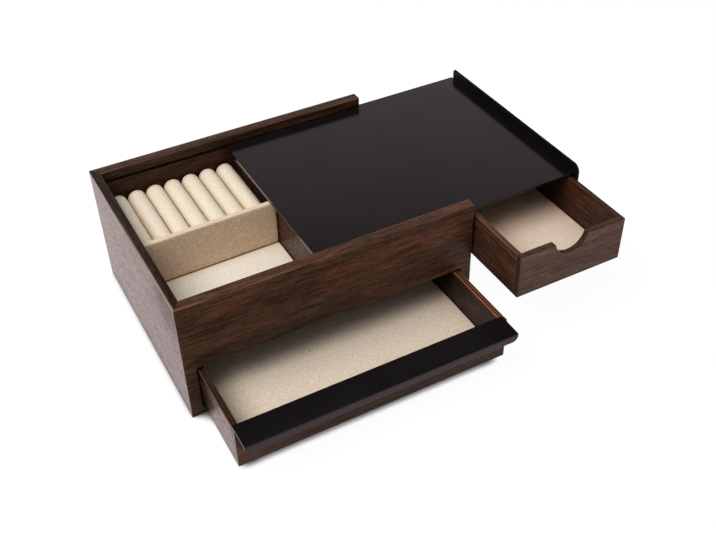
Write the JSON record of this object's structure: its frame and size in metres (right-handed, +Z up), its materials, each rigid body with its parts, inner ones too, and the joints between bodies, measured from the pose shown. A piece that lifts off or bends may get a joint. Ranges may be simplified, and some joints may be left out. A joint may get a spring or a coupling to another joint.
{
  "type": "jewellery box with sliding lid and drawers",
  "caption": "Small wooden keepsake box with a sliding metal lid that carries a hanging side drawer, a full-width lower drawer with a metal pull, and a padded ring insert.",
  "frame": {"origin": "centre of the casing's underside", "axes": "+X to the right along the box, the way the lid slides open; +Y from the drawers' front to the back; +Z up"},
  "size_m": [0.3001, 0.2409, 0.0931],
  "materials": {
    "case_wood": "dark stained plywood, satin",
    "drawer_wood": "dark stained plywood, satin",
    "lid_metal": "charcoal powder coat, satin",
    "carrier_metal": "black powder coat, satin",
    "pull_metal": "black powder coat, satin",
    "linen": "cream linen, woven",
    "insert_board": "tan cloth over board",
    "drawer_lining": "beige cloth over card"
  },
  "bodies": {
    "casing": {"front_wall": "case_wood", "back_wall": "case_wood", "left_wall": "case_wood", "right_wall": "case_wood", "base_panel": "case_wood", "shelf": "case_wood", "partition": "case_wood", "drawer_guide": "case_wood", "drawer_stops": "case_wood", "tray_liner": "linen", "insert_front": "insert_board", "insert_block": "linen", "ring_roll_1": "linen", "ring_roll_2": "linen", "ring_roll_3": "linen", "ring_roll_4": "linen", "ring_roll_5": "linen", "ring_roll_6": "linen", "ring_roll_7": "linen"},
    "lid": {"lid_sheet": "lid_metal", "end_plate": "lid_metal", "carrier_floor": "carrier_metal", "carrier_side": "carrier_metal", "carrier_back": "carrier_metal", "carrier_flange": "carrier_metal"},
    "side_drawer": {"side_drawer_front": "drawer_wood", "side_drawer_left": "drawer_wood", "side_drawer_right": "drawer_wood", "side_drawer_back": "drawer_wood", "side_drawer_bottom": "drawer_wood", "side_drawer_liner": "drawer_lining"},
    "lower_drawer": {"lower_drawer_front": "drawer_wood", "lower_drawer_left": "drawer_wood", "lower_drawer_right": "drawer_wood", "lower_drawer_back": "drawer_wood", "lower_drawer_bottom": "drawer_wood", "lower_drawer_liner": "drawer_lining", "pull": "pull_metal"}
  },
  "joints": [
    {"name": "lid_slide", "type": "slide", "parent": "casing", "child": "lid", "axis": [1, 0, 0], "range_m": [-0.0014, 0.0006]},
    {"name": "side_drawer_slide", "type": "slide", "parent": "lid", "child": "side_drawer", "axis": [0, -1, 0], "range_m": [-0.0596, 0.04]},
    {"name": "lower_drawer_slide", "type": "slide", "parent": "casing", "child": "lower_drawer", "axis": [0, -1, 0], "range_m": [-0.0565, 0.05]}
  ]
}
